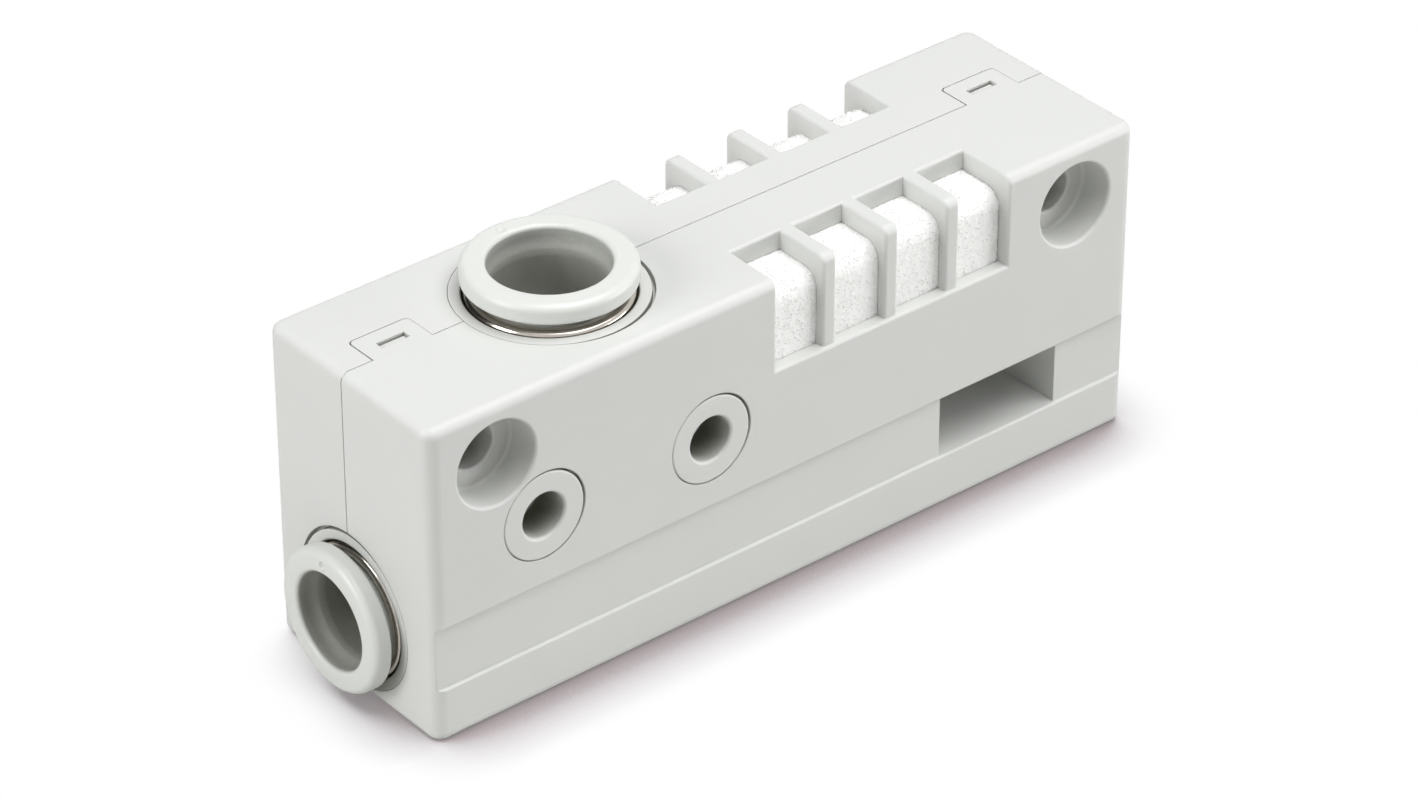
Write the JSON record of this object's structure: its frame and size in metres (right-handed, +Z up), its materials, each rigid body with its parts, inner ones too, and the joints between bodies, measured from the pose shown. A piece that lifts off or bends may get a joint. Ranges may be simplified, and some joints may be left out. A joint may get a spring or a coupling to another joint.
{
  "type": "vacuum ejector",
  "caption": "Compact two-shell vacuum ejector with a push-in supply fitting on one end, a larger push-in vacuum fitting on top and a ribbed silencer window.",
  "frame": {"origin": "centre of the moulded body's bottom face", "axes": "+X along the body away from the supply fitting, -Y is the face with the counterbores, +Z up along the vacuum port"},
  "size_m": [0.0984, 0.027, 0.0417],
  "materials": {
    "body_plastic": "fine matte moulded, warm light grey",
    "sleeve_plastic": "satin moulded, light grey",
    "button_plastic": "satin moulded, light grey",
    "bushing_plastic": "satin, light grey",
    "inner_plastic": "satin, natural",
    "porous_silencer": "white sintered fibre, open pores",
    "polished_stainless": "polished",
    "stainless": "stamped, bright",
    "brass": "turned brass",
    "rubber": "matte black"
  },
  "bodies": {
    "housing": {"front_shell": "body_plastic", "rear_shell": "body_plastic", "silencer": "porous_silencer", "suction_screen": "stainless", "check_valve_flap": "rubber", "vacuum_cassette": "sleeve_plastic", "vacuum_guide_ring": "polished_stainless", "vacuum_collet": "stainless", "vacuum_spacer_ring": "sleeve_plastic", "vacuum_tube_seal": "rubber", "vacuum_o_ring": "rubber", "supply_cassette": "sleeve_plastic", "supply_guide_ring": "polished_stainless", "supply_collet": "stainless", "supply_spacer_ring": "sleeve_plastic", "supply_tube_seal": "rubber", "supply_o_ring": "rubber", "left_port_bushing": "bushing_plastic", "left_port_o_ring": "rubber", "right_port_bushing": "bushing_plastic", "right_port_o_ring": "rubber", "nozzle": "brass", "nozzle_o_ring": "rubber", "first_diffuser": "inner_plastic", "first_diffuser_o_ring": "rubber", "second_diffuser": "inner_plastic", "second_diffuser_o_ring": "rubber"},
    "vacuum_button": {"vacuum_release_button": "button_plastic"},
    "supply_button": {"supply_release_button": "button_plastic"}
  },
  "joints": [
    {"name": "vacuum_button_press", "type": "slide", "parent": "housing", "child": "vacuum_button", "axis": [0, 0, -1], "range_m": [0, 0.001], "stiffness_N_per_m": 400, "springref_m": -0.001},
    {"name": "supply_button_press", "type": "slide", "parent": "housing", "child": "supply_button", "axis": [1, 0, 0], "range_m": [0, 0.001], "stiffness_N_per_m": 400, "springref_m": -0.001}
  ]
}
